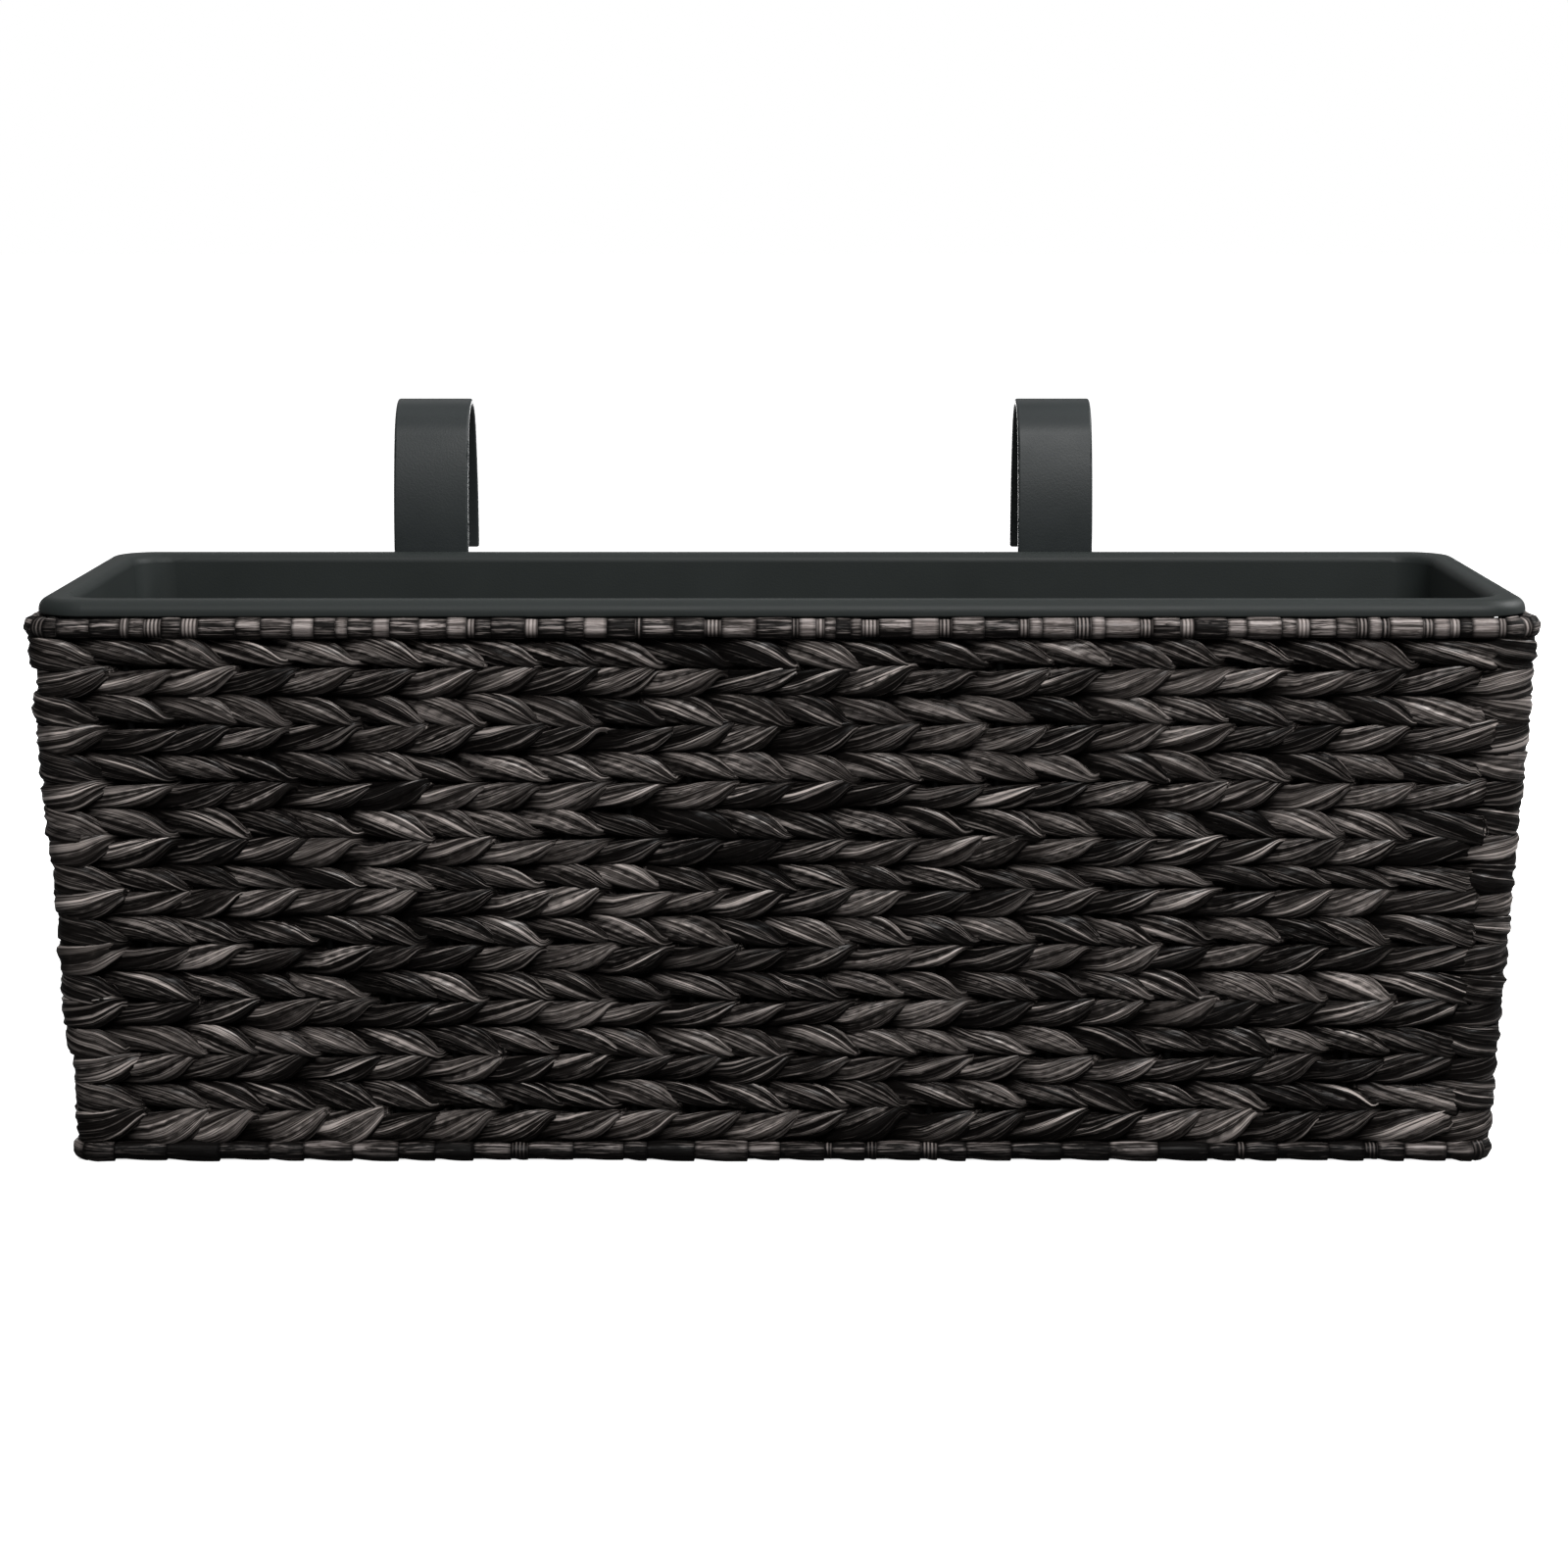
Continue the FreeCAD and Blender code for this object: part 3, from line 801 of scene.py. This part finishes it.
def makeRibbon():
    material, tree, shader = newMaterial("woundRibbon")
    streaks, tone, paintedShade = fibreSources(tree, ribbon)
    bound = addAttribute(tree, (-1100, 500), "bound")
    uv = addNode(tree, "ShaderNodeUVMap", (-1300, 700), {"uv_map": "UVMap"})
    split = addNode(tree, "ShaderNodeSeparateXYZ", (-1100, 700))
    feed(tree, split.inputs[0], uv.outputs["UV"])
    turns = addMath(tree, (-900, 700), "MULTIPLY",
                    split.outputs["X"], ribbon["turnsPerMetre"] * 2 * math.pi)
    wave = addMath(tree, (-700, 700), "SINE", turns)
    half = addMath(tree, (-500, 700), "MULTIPLY_ADD",
                   wave, ribbon["turnContrast"], ribbon["turnMiddle"])
    pattern = mixValues(tree, (-600, 300), bound, streaks, half)
    fibreColor(tree, ribbon, pattern, tone, paintedShade, shader)
    feed(tree, shader.inputs["Roughness"], ribbon["roughness"])
    sheenWhereUnshaded(tree, ribbon, paintedShade, streaks, shader)
    addBump(tree, (300, -400), pattern, ribbon, shader)
    return material


grainPattern = {"grainDetail": 2.0, "cloudDetail": 4.0, "roughness": 0.55}


def makeGrainGroup():
    # fine unevenness of moulded plastic, powder coat and paint
    tree, enter, leave = newGroup(
        "fineGrain", {"Scale": 900.0, "Cloud Scale": 22.0}, ["Grain", "Cloud"])
    place = addNode(tree, "ShaderNodeTexCoord", (-900, 0))
    for label, scale, detail, y in (
            ("Grain", "Scale", grainPattern["grainDetail"], 150),
            ("Cloud", "Cloud Scale", grainPattern["cloudDetail"], -150)):
        noise = addNode(tree, "ShaderNodeTexNoise", (-400, y), values={
            "Detail": detail, "Roughness": grainPattern["roughness"]})
        feed(tree, noise.inputs["Vector"], place.outputs["Object"])
        feed(tree, noise.inputs["Scale"], enter.outputs[scale])
        feed(tree, leave.inputs[label], noise.outputs["Fac"])
    return tree


grainGroup = makeGrainGroup()

coats = {
    "cloudSpan": (0.3, 0.7),     # of the clouds' noise, from the dark to the light
    "pot": {
        "dark": (0.018, 0.0225, 0.0215), "light": (0.023, 0.0285, 0.0275),
        "grainScale": 1400.0, "cloudScale": 16.0,
        "roughness": (0.48, 0.58), "specular": 0.32, "bump": 0.25, "bumpDepth": 0.0002},
    "hook": {
        "dark": (0.022, 0.027, 0.028), "light": (0.027, 0.033, 0.034),
        "grainScale": 1100.0, "cloudScale": 30.0,
        "roughness": (0.40, 0.50), "specular": 0.38, "bump": 0.3, "bumpDepth": 0.0002},
    "wire": {
        "dark": (0.001, 0.001, 0.001), "light": (0.003, 0.003, 0.003),
        "grainScale": 800.0, "cloudScale": 60.0,
        "roughness": (0.6, 0.8), "specular": 0.06, "bump": 0.3, "bumpDepth": 0.0002},
}


def makeCoated(name, look):
    # plastic or coated steel: a grained surface with slight clouds in its colour and gloss
    material, tree, shader = newMaterial(name)
    grain = addNode(tree, "ShaderNodeGroup", (-700, 0), {"node_tree": grainGroup},
                    {"Scale": look["grainScale"], "Cloud Scale": look["cloudScale"]})
    cloud, span = grain.outputs["Cloud"], coats["cloudSpan"]
    ramp = addRamp(
        tree, (-400, 200), [(span[0], look["dark"]), (span[1], look["light"])], cloud)
    feed(tree, shader.inputs["Base Color"], ramp)
    gloss = addRange(tree, (-400, -100), cloud, before=span, after=look["roughness"])
    feed(tree, shader.inputs["Roughness"], gloss)
    feed(tree, shader.inputs["Specular IOR Level"], look["specular"])
    addBump(tree, (0, -300), grain.outputs["Grain"], look, shader)
    return material


def dress(piece, material):
    piece.data.materials.clear()
    piece.data.materials.append(material)


hyacinthMaterial = makeHyacinth()
ribbonMaterial = makeRibbon()
potMaterial = makeCoated("mouldedPlastic", coats["pot"])
hookMaterial = makeCoated("powderCoat", coats["hook"])
wireMaterial = makeCoated("blackPaint", coats["wire"])

for course in courses:
    dress(course, hyacinthMaterial)
for piece in borders:
    dress(piece, ribbonMaterial)
for name, node in nodes.items():
    if name == "liner":
        dress(node, potMaterial)
    elif name.startswith("hook"):
        dress(node, hookMaterial)
    else:
        dress(node, wireMaterial)
print("materials made")


# Floor, lights and camera

stage = {
    "floorSize": 30.0,
    "floorRoughness": 0.8,
    "floorColor": (0.85, 0.85, 0.85),   # as the camera sees it
    "floorGives": (0.3, 0.3, 0.3),      # and as the light does
    "floorGlow": 1.0,            # keeps the floor as pale as the backdrop in the picture
    "paintedShadow": (0.281, 0.078),    # half of the floor's length and width kept dark, a painted shadow under the box
    "paintedShadowEdge": 0.006,
    "backdrop": 1.0,             # brightness of the backdrop in the picture
    "fill": 0.15,                # light that it gives
    "camera": (0.0008, -1.540, 0.3987),
    "pitch": -9.51,
    "lens": 85.0,
    "sensor": 36.0,
    "lights": [
        # name, place, size, power, what it points at
        ("key", (0.6, -2.3, 2.3), (1.8, 0.9), 66.0, (0, 0, 0.15)),
        ("side", (1.7, 0.4, 1.4), (0.8, 0.8), 30.0, (-0.2, 0, 0.2)),
        ("overhead", (0.0, 0.2, 2.2), (2.4, 1.2), 8.0, (0, 0, 0.1)),
        ("back", (-0.5, 2.3, 2.0), (1.8, 0.9), 4.0, (0, 0, 0.1)),
        ("lowBack", (0.0, 1.7, 0.13), (2.4, 0.24), 12.0, (0, 0, 0.1)),
    ],
}


def makeFloor():
    bpy.ops.mesh.primitive_plane_add(size=stage["floorSize"], location=(0, 0, 0))
    floor = bpy.context.active_object
    floor.name = "paleFloor"
    material, tree, shader = newMaterial("paleFloor")
    feed(tree, shader.inputs["Roughness"], stage["floorRoughness"])
    feed(tree, shader.inputs["Emission Color"], (1, 1, 1))
    seen = addNode(tree, "ShaderNodeLightPath", (0, -300)).outputs["Is Camera Ray"]
    pale = mixColors(tree, (300, 0), seen, stage["floorGives"], stage["floorColor"])
    feed(tree, shader.inputs["Base Color"], pale)
    # it glows for the camera alone, and not under the box, where it leaves a painted shadow
    place = addNode(tree, "ShaderNodeTexCoord", (-900, -500))
    split = addNode(tree, "ShaderNodeSeparateXYZ", (-700, -500))
    feed(tree, split.inputs[0], place.outputs["Object"])
    past = []
    for side, half in enumerate(stage["paintedShadow"]):
        y = -400 - 200 * side
        away = addMath(tree, (-500, y), "ABSOLUTE", split.outputs[side])
        past.append(addMath(tree, (-300, y), "SUBTRACT", away, half))
    outside = addMath(tree, (-100, -500), "MAXIMUM", *past)
    bright = addRange(tree, (100, -500), outside,
                      before=(0.0, stage["paintedShadowEdge"]), after=(0.0, stage["floorGlow"]))
    glow = addMath(tree, (300, -300), "MULTIPLY", seen, bright)
    feed(tree, shader.inputs["Emission Strength"], glow)
    dress(floor, material)


def makeLights():
    world = bpy.data.worlds.new("studio")
    bpy.context.scene.world = world
    world.use_nodes = True
    tree = world.node_tree
    background = tree.nodes["Background"]
    feed(tree, background.inputs["Color"], (1, 1, 1))
    seen = addNode(tree, "ShaderNodeLightPath", (-600, 0)).outputs["Is Camera Ray"]
    level = addRange(tree, (-300, 0), seen, after=(stage["fill"], stage["backdrop"]))
    feed(tree, background.inputs["Strength"], level)
    for name, place, size, power, target in stage["lights"]:
        data = bpy.data.lights.new(name, "AREA")
        data.shape = "RECTANGLE"
        data.size, data.size_y = size
        data.energy = power
        light = bpy.data.objects.new(name, data)
        light.location = place
        light.visible_camera = False
        aim = Vector(np.array(target) - np.array(place))
        light.rotation_euler = aim.to_track_quat("-Z", "Y").to_euler()
        bpy.context.scene.collection.objects.link(light)


def makeCamera():
    data = bpy.data.cameras.new("camera")
    data.lens = stage["lens"]
    data.sensor_width = stage["sensor"]
    camera = bpy.data.objects.new("camera", data)
    camera.location = stage["camera"]
    camera.rotation_euler = (math.radians(90 + stage["pitch"]), 0, 0)
    bpy.context.scene.collection.objects.link(camera)
    bpy.context.scene.camera = camera


makeFloor()
makeLights()
makeCamera()
bpy.context.scene.view_settings.view_transform = "Standard"
print("stage set")
